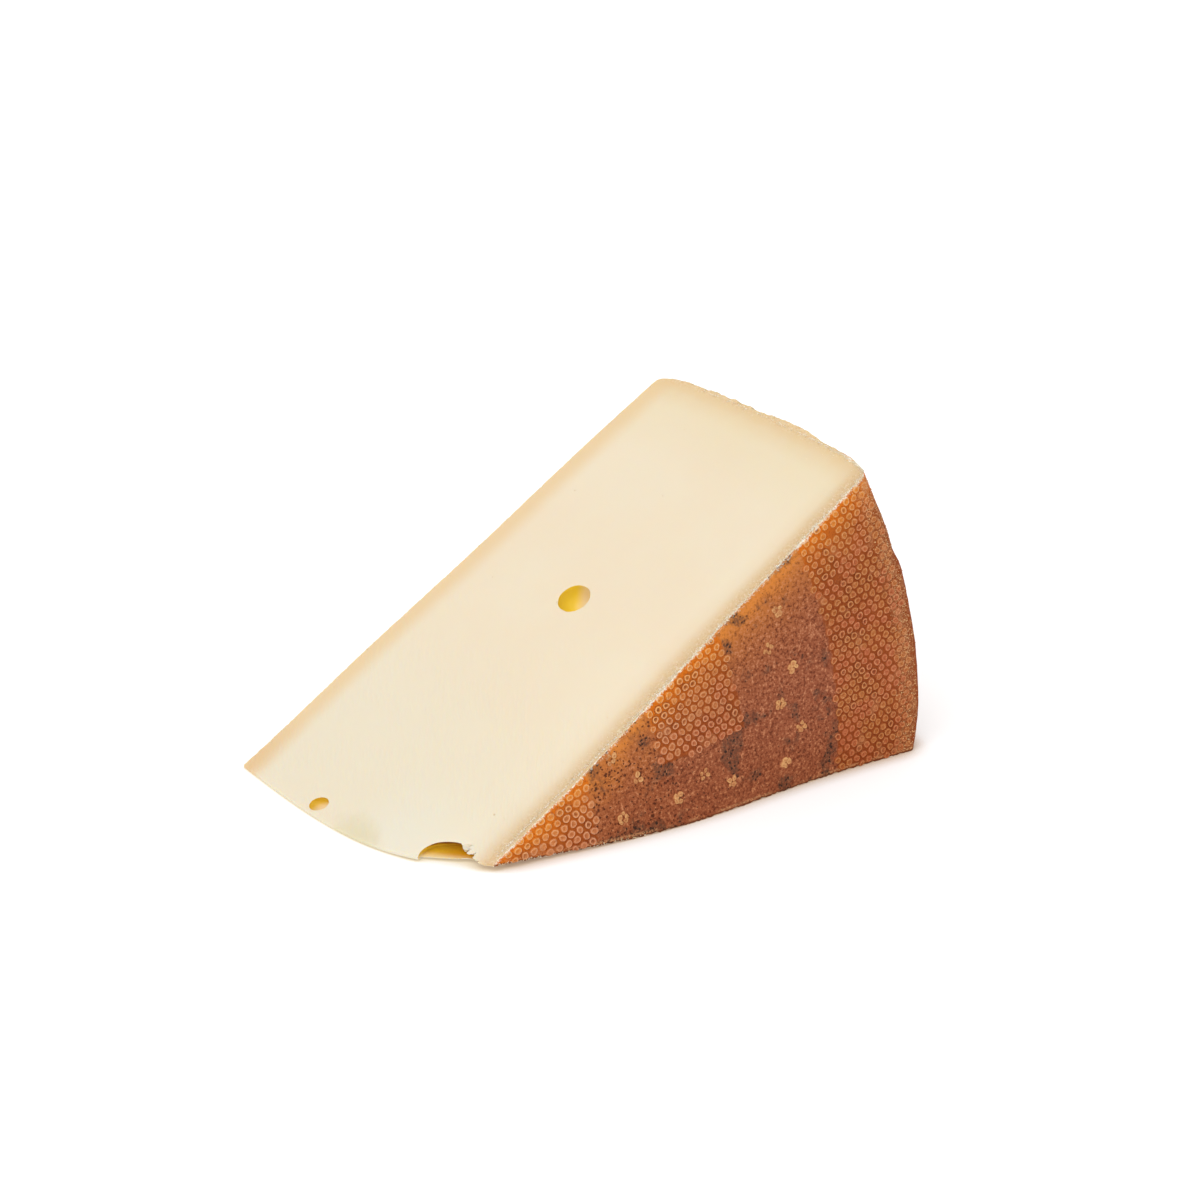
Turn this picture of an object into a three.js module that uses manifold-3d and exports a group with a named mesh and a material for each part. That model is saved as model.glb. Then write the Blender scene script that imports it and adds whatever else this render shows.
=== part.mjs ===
// A wedge of hard washed-rind cheese, sliced from a round wheel that stood on its edge.
// Two knife cuts run from the heel of the wheel towards its axis: one is the flat that the
// wedge lies on, the other is the sloping cream face above it. The two flat faces of the
// wheel are the wedge's rind sides, and the curved edge of the wheel is its heel.
//
// Millimetres, +Z up. While it is shaped, the wheel's axis is the Y axis and the near rind
// side lies at y = 0. The finished wedge is moved so that its origin is the middle of its
// bounding box's underside, with +X from the nose to the heel.

import * as THREE from 'three';
import { mergeVertices } from 'three/addons/utils/BufferGeometryUtils.js';
import Module from 'manifold-3d';

const wasm = await Module();
wasm.setup();

// The wheel
const wheelRadius = 159.7; // at the middle of the heel
const heelFall = 1.8; // how much smaller the radius is where the rim begins
const wheelThickness = 90;
const faceCrown = 0.6; // the rind sides are this much thicker at the axis than at the rim
const rimWidth = 13; // the rounded rim's length along the heel
const rimDepth = 4.5; // and its length along the rind side
const rimSag = 0.35; // soft waves in the radius, from standing on a shelf
const degreesPerStep = 2.5;

// The near rind side has sagged outwards above the board, between the nose and the heel
const slumpDepth = 4.7;
const slumpAhead = 73; // where it is deepest, measured from the wheel's axis
const slumpSpread = 37;
const slumpHeight = 42;

// The two cuts
const floorBelowAxis = 5;
const noseAhead = 20.9; // the near tip of the nose, measured from the wheel's axis
const noseSweep = 25.3; // how far the far end of the nose reaches back past the near tip
const noseCurve = 20; // the length over which the nose sweeps back
const noseBluntness = 0.7;
const cutReach = 112; // distance ahead of the near tip at which the two rises are measured
const nearRise = 82.2;
const farRise = 90.8;
const tipLift = 1.3; // the near tip curls up off the board
const tipReach = 52; // the underside is flat beyond this distance from the tip
const knifeWave = 0.22; // low waves that the knife leaves in the cream face
const cutMargin = 8; // the slicing solid stands this far out of the wheel on every side

// The eyes: where each is centred, its half-sizes along its own length, across it and in
// depth, how it is turned about the vertical and how far it tips with the cream face
const eyes = [
  { at: [72.6, 43.3, 41.7], half: [5.3, 4.2, 4.8], turn: 90, tip: 36 }, // the middle one
  { at: [0.4, 53.1, -2.75], half: [3.4, 2.3, 1.9], turn: -53, tip: 0 }, // a small one by the nose
  { at: [13.6, 7.9, -3.9], half: [8.8, 6.5, 4.4], turn: 132, tip: 0 }, // the nose has broken it open
];

// The roof of the broken eye has cracked beside its arch: a ragged slot seen from above
const crackOutline = [[16.2, 9.4], [19.3, 6.9], [18.0, 6.7], [19.4, 4.6], [16.4, 4.9]];
const crackDepth = 9;

const halfThickness = wheelThickness / 2;

// One vertex for each place, so that the shape can be bent and made a solid
function weld(geometry) {
  geometry.deleteAttribute('normal');
  geometry.deleteAttribute('uv');
  return mergeVertices(geometry);
}

function bend(geometry, move) {
  const place = geometry.attributes.position;
  const point = new THREE.Vector3();
  for (let i = 0; i < place.count; i += 1) {
    move(point.fromBufferAttribute(place, i));
    place.setXYZ(i, point.x, point.y, point.z);
  }
  return geometry;
}

function solidOf(geometry) {
  const corners = geometry.index.array;
  const triVerts = [];
  for (let i = 0; i < corners.length; i += 3) {
    const triangle = [corners[i], corners[i + 1], corners[i + 2]];
    if (new Set(triangle).size === 3) {
      triVerts.push(...triangle);
    }
  }
  return new wasm.Manifold(new wasm.Mesh({
    numProp: 3,
    vertProperties: geometry.attributes.position.array,
    triVerts: Uint32Array.from(triVerts),
  }));
}

// How far across the thickness y lies, from -1 at the near side to 1 at the far side
const across = (y) => (y - halfThickness) / halfThickness;

const heelRadius = (y) => wheelRadius - heelFall * across(y) ** 2;

const crownAt = (radius) => faceCrown * (radius / wheelRadius) ** 2;

// The wheel's section, from the axis over the near side, the heel and the far side
function wheelProfile() {
  const faceSteps = 8;
  const arcSteps = 7;
  const heelSteps = 8;
  const nearY = crownAt(wheelRadius) + rimWidth;
  const farY = wheelThickness - nearY;
  const arcRadius = heelRadius(nearY) - rimDepth;
  const profile = [];
  for (let i = 0; i < faceSteps; i += 1) {
    const radius = (arcRadius * i) / faceSteps;
    profile.push(new THREE.Vector2(radius, crownAt(radius)));
  }
  for (let i = 0; i <= arcSteps; i += 1) {
    const angle = (Math.PI / 2) * (i / arcSteps);
    const radius = arcRadius + rimDepth * Math.sin(angle);
    profile.push(new THREE.Vector2(radius, nearY - rimWidth * Math.cos(angle)));
  }
  for (let i = 1; i < heelSteps; i += 1) {
    const y = THREE.MathUtils.lerp(nearY, farY, i / heelSteps);
    profile.push(new THREE.Vector2(heelRadius(y), y));
  }
  const nearHalf = profile.filter((point) => point.y <= nearY);
  const farHalf = nearHalf.map((point) => new THREE.Vector2(point.x, wheelThickness - point.y));
  return [...profile, ...farHalf.reverse()];
}

function slumpAt(point) {
  const along = Math.exp(-(((point.x - slumpAhead) / slumpSpread) ** 2));
  const up = THREE.MathUtils.clamp(1 - (point.z + floorBelowAxis) / slumpHeight, 0, 1);
  const nearness = THREE.MathUtils.clamp(1 - point.y / halfThickness, 0, 1);
  return slumpDepth * along * up ** 2 * nearness;
}

function wheel() {
  const turned = new THREE.LatheGeometry(wheelProfile(), 360 / degreesPerStep);
  return solidOf(bend(weld(turned), (point) => {
    const angle = Math.atan2(point.z, point.x);
    const reach = Math.hypot(point.x, point.z) / wheelRadius;
    const wave = Math.sin(angle * 9 + 0.6) + 0.6 * Math.sin(angle * 17 + point.y / 14);
    const stretch = 1 + (rimSag * wave * reach ** 4) / wheelRadius;
    point.x *= stretch;
    point.z *= stretch;
    point.y -= slumpAt(point);
  }));
}

const noseX = (y) => noseAhead - noseSweep * (1 - Math.exp(-Math.max(y, 0) / noseCurve));

const liftAt = (x, y) => tipLift * Math.max(1 - Math.hypot(x - noseAhead, y) / tipReach, 0) ** 2;

// Height of the cream face above the board, on straight lines from the nose to the heel
function riseAt(x, y) {
  const rise = THREE.MathUtils.lerp(nearRise, farRise, y / wheelThickness);
  const along = (x - noseX(y)) / (noseAhead + cutReach - noseX(y));
  const wave = Math.sin(x / 11 + y / 19) * Math.sin(y / 13 + 1) * Math.min(along * 6, 1);
  return noseBluntness + along * rise + knifeWave * wave;
}

// The space between the two cuts: a box whose nose end is pinched to a blunt edge
function slice() {
  const stepsAlong = 26;
  const stepsAcross = 18;
  const heelEnd = wheelRadius + cutMargin;
  const box = new THREE.BoxGeometry(1, 1, 1, stepsAlong, stepsAcross, 1).translate(0.5, 0.5, 0.5);
  return solidOf(bend(weld(box), (point) => {
    const [along, top] = [point.x ** 1.3, point.z > 0.5];
    point.y = THREE.MathUtils.lerp(-cutMargin, wheelThickness + cutMargin, point.y);
    point.x = THREE.MathUtils.lerp(noseX(point.y), heelEnd, along);
    point.z = liftAt(point.x, point.y) - floorBelowAxis;
    if (top) {
      point.z += riseAt(point.x, point.y);
    }
  }));
}

function eye({ at, half, turn, tip }) {
  const ball = new THREE.SphereGeometry(1, 20, 14).scale(...half);
  ball.rotateX(THREE.MathUtils.degToRad(-tip));
  ball.rotateZ(THREE.MathUtils.degToRad(turn));
  ball.translate(...at);
  return solidOf(weld(ball));
}

function crack() {
  const outline = new THREE.Shape(crackOutline.map(([x, y]) => new THREE.Vector2(x, y)));
  const slot = new THREE.ExtrudeGeometry(outline, { depth: crackDepth, bevelEnabled: false });
  slot.translate(0, 0, -floorBelowAxis - 1);
  return solidOf(weld(slot));
}

function cheeseWedge() {
  let solid = wheel().intersect(slice());
  for (const place of eyes) {
    solid = solid.subtract(eye(place));
  }
  solid = solid.subtract(crack());
  const { vertProperties, triVerts } = solid.getMesh();
  const geometry = new THREE.BufferGeometry();
  geometry.setAttribute('position', new THREE.BufferAttribute(vertProperties, 3));
  geometry.setIndex(new THREE.BufferAttribute(triVerts, 1));
  geometry.computeBoundingBox();
  const { min, max } = geometry.boundingBox;
  geometry.translate(-(min.x + max.x) / 2, -(min.y + max.y) / 2, -min.z);
  geometry.computeVertexNormals();
  return geometry;
}

const paste = new THREE.MeshStandardMaterial({ color: 0xf1e2c2, roughness: 0.5, metalness: 0 });

const wedge = new THREE.Mesh(cheeseWedge(), paste);
wedge.name = 'cheese_wedge';

const model = new THREE.Group();
model.add(wedge);

export default model;
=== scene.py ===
import math
import random

import bmesh
import bpy
import numpy as np
from mathutils import Matrix, Vector, noise
from mathutils.bvhtree import BVHTree


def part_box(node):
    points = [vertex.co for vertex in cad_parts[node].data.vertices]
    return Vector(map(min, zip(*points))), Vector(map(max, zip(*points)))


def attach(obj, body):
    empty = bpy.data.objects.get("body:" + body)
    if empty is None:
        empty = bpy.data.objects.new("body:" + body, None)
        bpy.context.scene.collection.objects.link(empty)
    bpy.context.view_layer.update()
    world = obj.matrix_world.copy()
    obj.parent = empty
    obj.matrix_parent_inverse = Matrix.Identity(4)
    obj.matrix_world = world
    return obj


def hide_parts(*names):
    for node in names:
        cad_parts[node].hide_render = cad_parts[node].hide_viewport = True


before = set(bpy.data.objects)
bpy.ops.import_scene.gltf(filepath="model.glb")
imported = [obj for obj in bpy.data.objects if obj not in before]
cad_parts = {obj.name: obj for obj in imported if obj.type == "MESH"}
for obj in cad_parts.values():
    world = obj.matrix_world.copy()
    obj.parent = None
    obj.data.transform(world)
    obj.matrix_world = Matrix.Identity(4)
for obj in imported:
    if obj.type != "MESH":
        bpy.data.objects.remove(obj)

# The cheese is shaped in millimetres about the axis of the wheel that it was sliced from:
# y runs along that axis, from the near rind side at 0 to the far one, and x towards the heel.
# Its place in the frame comes from the box of the node that it stands for.

scene = bpy.context.scene
scene.view_settings.view_transform = "Standard"
mm = 0.001
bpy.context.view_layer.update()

camera = {
    "azimuth": -32.9,
    "elevation": 20.04,
    "distance": 0.7537,
    "target": (0.0702, 0.1055, 0.0),
    "lens": 70,
}


def linked(name, data):
    made = bpy.data.objects.new(name, data)
    scene.collection.objects.link(made)
    return made


def makeCamera():
    azimuth, elevation = math.radians(camera["azimuth"]), math.radians(camera["elevation"])
    back = Vector((
        math.sin(azimuth) * math.cos(elevation),
        -math.cos(azimuth) * math.cos(elevation),
        math.sin(elevation),
    ))
    made = linked("camera", bpy.data.cameras.new("camera"))
    made.data.lens = camera["lens"]
    made.data.sensor_width = 36
    made.data.clip_start = 0.01
    made.location = Vector(camera["target"]) + back * camera["distance"]
    made.rotation_euler = (-back).to_track_quat("-Z", "Y").to_euler()
    scene.camera = made


makeCamera()
print("camera placed")

# The wheel and the two knife cuts

wheel = {
    "radius": 159.7,       # at the middle of the heel
    "heelFall": 1.8,       # how much smaller it is where the rim begins
    "thickness": 90.0,
    "crown": 0.6,          # the sides are this much thicker at the axis
    "rimWidth": 13.0,      # the rounded rim, along the heel
    "rimDepth": 4.5,       # and along the side
    "sag": 0.35,
    "slump": 4.7,          # the near side bulges above the board
    "slumpAhead": 73.0,
    "slumpSpread": 37.0,
    "slumpHeight": 42.0,
    "swell": 1.4,          # a low swelling of the near rim, between these two angles
    "swellFrom": -7.0,
    "swellTo": 21.0,
    "lip": 1.4,            # the near rim stands out beside the upper cut
    "lipFrom": 29.0,
    "chip": 1.9,           # what has crumbled off the heel end of the upper cut
    "chipReach": 6.0,
    "chipDepth": 2.8,
    "grid": (200, 90, 126),
}
knife = {
    "floorBelowAxis": 5.0,
    "noseAhead": 20.9,     # near tip of the nose, from the axis
    "noseSweep": 25.3,
    "noseCurve": 20.0,
    "bluntness": 0.7,
    "reach": 112.0,
    "nearRise": 82.2,
    "farRise": 90.8,
    "tipLift": 1.3,
    "tipReach": 52.0,
    "wave": 0.22,
    "wear": 0.9,           # the near edge of the upper cut has crumbled down
    "wearReach": 3.5,
    "margin": 8.0,
    "grid": (160, 98, 0),
}
half = wheel["thickness"] / 2
board = -knife["floorBelowAxis"]
cutSlope = math.atan2(knife["nearRise"], knife["reach"])


def ease(value, low, high):
    share = np.clip((value - low) / (high - low), 0, 1)
    return share * share * (3 - 2 * share)


def noseX(y):
    return knife["noseAhead"] - knife["noseSweep"] * (1 - np.exp(-np.maximum(y, 0) / knife["noseCurve"]))


nodeLow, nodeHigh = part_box("cheese_wedge")
shift = Vector((
    nodeLow.x / mm - float(noseX(wheel["thickness"])),
    nodeHigh.y / mm - wheel["thickness"],
    nodeLow.z / mm - board,
))
toFrame = Matrix.Scale(mm, 4) @ Matrix.Translation(shift)


def underAt(x, y):
    away = np.hypot(x - knife["noseAhead"], y) / knife["tipReach"]
    return board + knife["tipLift"] * np.maximum(1 - away, 0) ** 2


def topAt(x, y):
    rise = knife["nearRise"] + (knife["farRise"] - knife["nearRise"]) * y / wheel["thickness"]
    along = (x - noseX(y)) / (knife["noseAhead"] + knife["reach"] - noseX(y))
    wave = np.sin(x / 11 + y / 19) * np.sin(y / 13 + 1) * np.minimum(along * 6, 1)
    wear = knife["wear"] * ease(y, knife["wearReach"], 0) * ease(x, 35, 70)
    return underAt(x, y) + knife["bluntness"] + along * rise + knife["wave"] * wave - wear


def heelRadius(y):
    return wheel["radius"] - wheel["heelFall"] * ((y - half) / half) ** 2


def crownAt(radius):
    return wheel["crown"] * (radius / wheel["radius"]) ** 2


def slumpAt(x, y, z):
    along = np.exp(-(((x - wheel["slumpAhead"]) / wheel["slumpSpread"]) ** 2))
    up = np.clip(1 - (z - board) / wheel["slumpHeight"], 0, 1)
    return wheel["slump"] * along * up ** 2 * np.clip(1 - y / half, 0, 1)


def rindGaps(x, y, z):
    # Distances to the near side, the far side and the heel
    radius = np.hypot(x, z)
    crown = crownAt(radius)
    return np.stack([
        np.maximum(y - crown + slumpAt(x, y, z), 0),
        np.maximum(wheel["thickness"] - crown - y, 0),
        np.maximum(heelRadius(y) - radius, 0),
    ], axis=1)


def cutGaps(x, y, z):
    # Distances to the upper and to the lower cut
    upper = np.maximum(topAt(x, y) - z, 0) * math.cos(cutSlope)
    return np.stack([upper, np.maximum(z - underAt(x, y), 0), np.zeros_like(x)], axis=1)


# Meshes as lists of places, and back

def readVectors(items, field):
    values = np.empty(len(items) * 3)
    items.foreach_get(field, values)
    return values.reshape(-1, 3)


def readPlaces(mesh):
    return readVectors(mesh.vertices, "co")


def writePlaces(mesh, places):
    mesh.vertices.foreach_set("co", np.ascontiguousarray(places, dtype=np.float64).ravel())
    mesh.update()


def storeValues(mesh, name, values):
    kind, field = ("FLOAT", "value") if values.ndim == 1 else ("FLOAT_VECTOR", "vector")
    layer = mesh.attributes.new(name, kind, "POINT")
    layer.data.foreach_set(field, np.ascontiguousarray(values, dtype=np.float64).ravel())


def storeGaps(mesh):
    x, y, z = readPlaces(mesh).T
    storeValues(mesh, "rindGap", rindGaps(x, y, z))
    storeValues(mesh, "cutGap", cutGaps(x, y, z))


def sampled(places, size, seed=0.0):
    move = Vector((seed, seed * 2.3, -seed))
    return np.array([noise.noise(Vector(p) / size + move) for p in places])


def meshFrom(bm, name):
    mesh = bpy.data.meshes.new(name)
    bm.to_mesh(mesh)
    bm.free()
    return mesh


def objectFrom(bm, name):
    bmesh.ops.recalc_face_normals(bm, faces=bm.faces)
    return linked(name, meshFrom(bm, name))


# Solids to be cut from each other: cubes with a grid on every side, bent into shape

def gridCube(cutsAlong, cutsAcross, cutsUp):
    bm = bmesh.new()
    bmesh.ops.create_cube(bm, size=1)
    bmesh.ops.translate(bm, verts=bm.verts, vec=(0.5, 0.5, 0.5))
    for axis, cuts in enumerate((cutsAlong, cutsAcross, cutsUp)):
        edges = [e for e in bm.edges if abs(e.verts[0].co[axis] - e.verts[1].co[axis]) > 0.5]
        bmesh.ops.subdivide_edges(bm, edges=edges, cuts=cuts, use_grid_fill=True)
    return bm


def roundRim(radius, y):
    # Squeezes the square corner between side and heel into a quarter of an ellipse
    fromSide = np.minimum(y, wheel["thickness"] - y)
    inner = heelRadius(y) - wheel["rimDepth"]
    p = np.clip((radius - inner) / wheel["rimDepth"], 0, 1)
    q = np.clip(1 - fromSide / wheel["rimWidth"], 0, 1)
    reach = np.maximum(p, q)
    turn = np.pi / 4 * np.minimum(p, q) / np.maximum(reach, 1e-6)
    large, small = reach * np.cos(turn), reach * np.sin(turn)
    inCorner = (p > 0) & (q > 0)
    roundedSide = wheel["rimWidth"] * (1 - np.where(p >= q, small, large))
    roundedRadius = inner + wheel["rimDepth"] * np.where(p >= q, large, small)
    roundedY = np.where(y < half, roundedSide, wheel["thickness"] - roundedSide)
    return np.where(inCorner, roundedRadius, radius), np.where(inCorner, roundedY, y)


def wheelPiece():
    fan = {"centre": (-60.0, -25.0), "start": 0.2, "lowAngle": -5.0, "highAngle": 41.0}
    made = objectFrom(gridCube(*wheel["grid"]), "wheel_piece")
    along, across, up = readPlaces(made.data).T
    angle = np.radians(fan["lowAngle"] + (fan["highAngle"] - fan["lowAngle"]) * up)
    y = across * wheel["thickness"]
    along = fan["start"] + (1 - fan["start"]) * along
    x = fan["centre"][0] + along * (heelRadius(y) * np.cos(angle) - fan["centre"][0])
    z = fan["centre"][1] + along * (heelRadius(y) * np.sin(angle) - fan["centre"][1])
    radius, turn = np.hypot(x, z), np.arctan2(z, x)
    radius, y = roundRim(radius, y)
    crown = crownAt(radius)
    y = crown + y * (1 - 2 * crown / wheel["thickness"])
    wave = np.sin(turn * 9 + 0.6) + 0.6 * np.sin(turn * 17 + y / 14)
    radius = radius * (1 + wheel["sag"] * wave * (radius / wheel["radius"]) ** 4 / wheel["radius"])
    degrees = np.degrees(turn)
    swell = ease(degrees, wheel["swellTo"], wheel["swellTo"] - 3) * ease(degrees, wheel["swellFrom"], 3)
    swell *= ease(y, 34, 8) * ease(radius, wheel["radius"] - 14, wheel["radius"] - 4)
    lip = ease(degrees, wheel["lipFrom"], wheel["lipFrom"] + 6) * ease(y, 8, 4)
    lip *= ease(radius, wheel["radius"] - 12, wheel["radius"] - 5)
    radius = radius + wheel["swell"] * swell + wheel["lip"] * lip
    x, z = radius * np.cos(turn), radius * np.sin(turn)
    writePlaces(made.data, np.stack([x, y - slumpAt(x, y, z), z], axis=1))
    return made


def knifeSlice():
    made = objectFrom(gridCube(*knife["grid"]), "knife_slice")
    along, across, up = readPlaces(made.data).T
    y = -knife["margin"] + across * (wheel["thickness"] + 2 * knife["margin"])
    heelEnd = wheel["radius"] + knife["margin"]
    x = noseX(y) + along ** 1.2 * (heelEnd - noseX(y))
    z = np.where(up > 0.5, topAt(x, y), underAt(x, y))
    writePlaces(made.data, np.stack([x, y, z], axis=1))
    return made


# The eyes: centre, half-sizes, turn about the vertical and tip with the cream face in degrees,
# and the way and the two depths between which their golden wall turns pale: painted light on the
# part of the wall that faces the light. The one that the nose has opened has a sill of cheese,
# which begins beside its centre and rises inwards, and flakes in its roof.
eyes = [
    {"at": (72.6, 43.3, 41.7), "half": (5.2, 4.7, 4.8), "turn": 90, "tip": 36,
     "paintedLightWay": (0.85, -0.5, -0.1), "pale": (-0.05, 0.55)},
    {"at": (0.4, 53.1, -2.75), "half": (3.4, 2.3, 1.9), "turn": -53, "tip": 0,
     "paintedLightWay": (0.4, -0.3, -0.86), "pale": (0.1, 0.8)},
    {"at": (13.6, 7.9, -3.9), "half": (8.8, 6.5, 4.4), "turn": 132, "tip": 0,
     "paintedLightWay": (0.0, 0.0, -1.0), "pale": (-0.12, 0.12),
     "sill": (0.6, 0.5), "flakes": 0.34, "flakeSize": 1.3},
]
crack = {
    "outline": ((15.4, 8.6), (16.6, 8.4), (17.6, 7.7), (18.4, 6.9), (19.1, 6.0), (18.3, 6.3), (17.5, 6.6),
                (16.7, 7.1), (15.6, 7.2)),
    "depth": 9.0,
}


def eyeTurn(eye):
    about = Matrix.Rotation(math.radians(eye["turn"]), 3, "Z")
    return about @ Matrix.Rotation(math.radians(-eye["tip"]), 3, "X")


def sillOf(eye):
    # A place on the sill and the way out of it
    start, slope = eye["sill"]
    inward = eyeTurn(eye) @ Vector((0, -1, 0))
    foot = Vector(eye["at"]) + inward * start
    foot.z = board
    return foot, (Vector((0, 0, 1)) - inward * slope).normalized()


def inOrder(bm):
    # The same vertices and faces in a fixed order, because operators such as create_uvsphere
    # begin each face at a corner that changes from run to run
    places = sorted(bm.verts, key=lambda v: v.co[:])
    order = {v: i for i, v in enumerate(places)}
    loops = []
    for face in bm.faces:
        corners = [order[v] for v in face.verts]
        first = corners.index(min(corners))
        loops.append(corners[first:] + corners[:first])
    made = bmesh.new()
    fresh = [made.verts.new(v.co) for v in places]
    for corners in sorted(loops):
        made.faces.new([fresh[i] for i in corners])
    bm.free()
    return made


def eyeBall(eye):
    bm = bmesh.new()
    bmesh.ops.create_uvsphere(bm, u_segments=96, v_segments=60, radius=1)
    bm = inOrder(bm)
    for vertex in bm.verts:
        vertex.co *= 1 + relief["eyeBump"] * noise.noise(vertex.co * 1.7 + Vector(eye["at"]))
    bmesh.ops.scale(bm, verts=bm.verts, vec=eye["half"])
    if "flakes" in eye:
        for vertex in bm.verts:
            broken = eye["flakes"] * float(ease(vertex.co.x, -1.5, -3.5)) * float(ease(vertex.co.z, 0, 1))
            vertex.co *= 1 - broken * abs(noise.cell(vertex.co / eye["flakeSize"]))
    bmesh.ops.transform(bm, verts=bm.verts, matrix=Matrix.Translation(eye["at"]) @ eyeTurn(eye).to_4x4())
    if "sill" in eye:
        foot, upward = sillOf(eye)
        bmesh.ops.bisect_plane(bm, geom=bm.verts[:] + bm.edges[:] + bm.faces[:], dist=0.001, plane_co=foot,
                               plane_no=upward, clear_inner=True)
        bmesh.ops.contextual_create(bm, geom=[e for e in bm.edges if e.is_boundary])
        bm = inOrder(bm)
        bed = max(bm.faces, key=lambda f: len(f.verts))
        middle = bmesh.ops.poke(bm, faces=[bed])["verts"]
        bmesh.ops.subdivide_edges(bm, edges=middle[0].link_edges[:], cuts=9)
    return objectFrom(inOrder(bm), "eye_ball")


def crackSlot():
    bm = bmesh.new()
    rim = [bm.verts.new((x, y, board - 1)) for x, y in crack["outline"]]
    grown = bmesh.ops.extrude_face_region(bm, geom=[bm.faces.new(rim)])["geom"]
    raised = [v for v in grown if isinstance(v, bmesh.types.BMVert)]
    bmesh.ops.translate(bm, verts=raised, vec=(0, 0, crack["depth"]))
    return objectFrom(bm, "crack_slot")


def combine(target, tool, operation):
    cutter = target.modifiers.new("cut", "BOOLEAN")
    cutter.operation = operation
    cutter.solver = "MANIFOLD"
    cutter.object = tool
    shaped = bpy.data.meshes.new_from_object(target.evaluated_get(bpy.context.evaluated_depsgraph_get()))
    target.modifiers.clear()
    target.data = shaped
    bpy.data.objects.remove(tool)


# The body of the cheese

relief = {
    "rindRoll": 0.22, "rindRollSize": 13.0,    # height and width of the soft unevenness
    "rindGrain": 0.09, "rindGrainSize": 1.9,
    "creamRoll": 0.05, "creamRollSize": 9.0,
    "ragged": 0.7, "raggedSize": 1.5,          # the torn edge between rind and cream
    "eyeBump": 0.03,                           # of an eye's radius
    "mergeReach": 0.12,                        # vertices nearer than this become one
    "sharpAngle": 38,
}
creamSlot, rindSlot, eyeSlot = 0, 1, 2


def faceKinds(mesh):
    # Which finish each face gets, from the surface that it lies on
    centres, normals = readVectors(mesh.polygons, "center"), readVectors(mesh.polygons, "normal")
    x, y, z = centres.T
    fromCut = np.minimum(np.abs(topAt(x, y) - z) * math.cos(cutSlope), np.abs(z - underAt(x, y)))
    isEye = np.zeros(len(centres), bool)
    for eye in eyes:
        offset = centres - np.array(eye["at"])
        reach = np.linalg.norm(offset @ np.array(eyeTurn(eye)) / np.array(eye["half"]), axis=1)
        hollow = (offset * normals).sum(axis=1) < 0
        isEye |= hollow & (np.abs(reach - 1) * min(eye["half"]) < 0.35) & (fromCut > 0.06)
        if "sill" in eye:
            foot, upward = sillOf(eye)
            onSill = np.abs((centres - np.array(foot)) @ np.array(upward)) < 0.05
            isEye |= onSill & (reach < 1.05) & (fromCut > 0.06)
    radius = np.hypot(x, z)
    outward = np.hypot(normals[:, 1], np.maximum(normals[:, 0] * x + normals[:, 2] * z, 0) / radius)
    isRind = ~isEye & (outward > 0.85) & (rindGaps(x, y, z).min(axis=1) < 6) & (fromCut > 0.05)
    return np.where(isEye, eyeSlot, np.where(isRind, rindSlot, creamSlot)).astype(np.int32)


def usedBy(mesh, chosen):
    # The vertices that the chosen faces use
    totals, corners = np.empty(len(mesh.polygons), np.int32), np.empty(len(mesh.loops), np.int32)
    mesh.polygons.foreach_get("loop_total", totals)
    mesh.loops.foreach_get("vertex_index", corners)
    used = np.zeros(len(mesh.vertices), bool)
    used[corners[np.repeat(chosen, totals)]] = True
    return used


def crumbleHeel(places):
    # The heel end of the upper cut has lost a few crumbs
    x, y, z = places.T
    radius = np.hypot(x, z)
    away = np.maximum(heelRadius(y) - radius, 0) / wheel["chipReach"]
    away += np.maximum(topAt(x, y) - z, 0) / wheel["chipDepth"]
    lost = ease(y, 2.2, 5) * ease(y, 30, 12) + 0.65 * ease(y, 34, 52) * ease(y, 90, 78)
    lost *= wheel["chip"] * np.clip(1 - away, 0, 1) * (1 + 0.7 * sampled(places, 2.3, 2.2))
    stay = 1 - lost / radius
    return np.stack([x * stay, y, z * stay], axis=1)


def storePaintedLight(mesh):
    # How pale the wall of the nearest eye is painted: painted light on the part of the wall that faces the
    # light
    places = readPlaces(mesh)
    pale, nearest = np.zeros(len(places)), np.full(len(places), 1e9)
    for eye in eyes:
        offset = (places - np.array(eye["at"])) / np.array(eye["half"])
        away = np.linalg.norm(offset, axis=1)
        closer = away < nearest
        pale[closer] = ease(offset @ np.array(eye["paintedLightWay"]), *eye["pale"])[closer]
        nearest[closer] = away[closer]
    storeValues(mesh, "pale", pale)


def roughen(mesh, kinds):
    places = crumbleHeel(readPlaces(mesh))
    outward = readVectors(mesh.vertices, "normal")
    onRind, inEye = usedBy(mesh, kinds == rindSlot), usedBy(mesh, kinds == eyeSlot)
    torn = onRind & usedBy(mesh, kinds == creamSlot)
    rindHeight = relief["rindRoll"] * sampled(places, relief["rindRollSize"])
    rindHeight += relief["rindGrain"] * sampled(places, relief["rindGrainSize"], 3.1)
    creamHeight = relief["creamRoll"] * sampled(places, relief["creamRollSize"], 5.7)
    tornHeight = -relief["ragged"] * np.abs(sampled(places, relief["raggedSize"], 9.2))
    tornHeight *= 0.3 + 0.7 * ease(places[:, 1], 70, 30)
    height = np.where(torn, tornHeight, np.where(onRind, rindHeight, np.where(inEye, 0, creamHeight)))
    moved = places + outward * height[:, None]
    flat = places[:, 2] < board + 0.02
    moved[flat] = np.where(torn[flat][:, None], moved[flat], places[flat])
    moved[:, 2] = np.maximum(moved[:, 2], board)
    writePlaces(mesh, moved)


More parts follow.
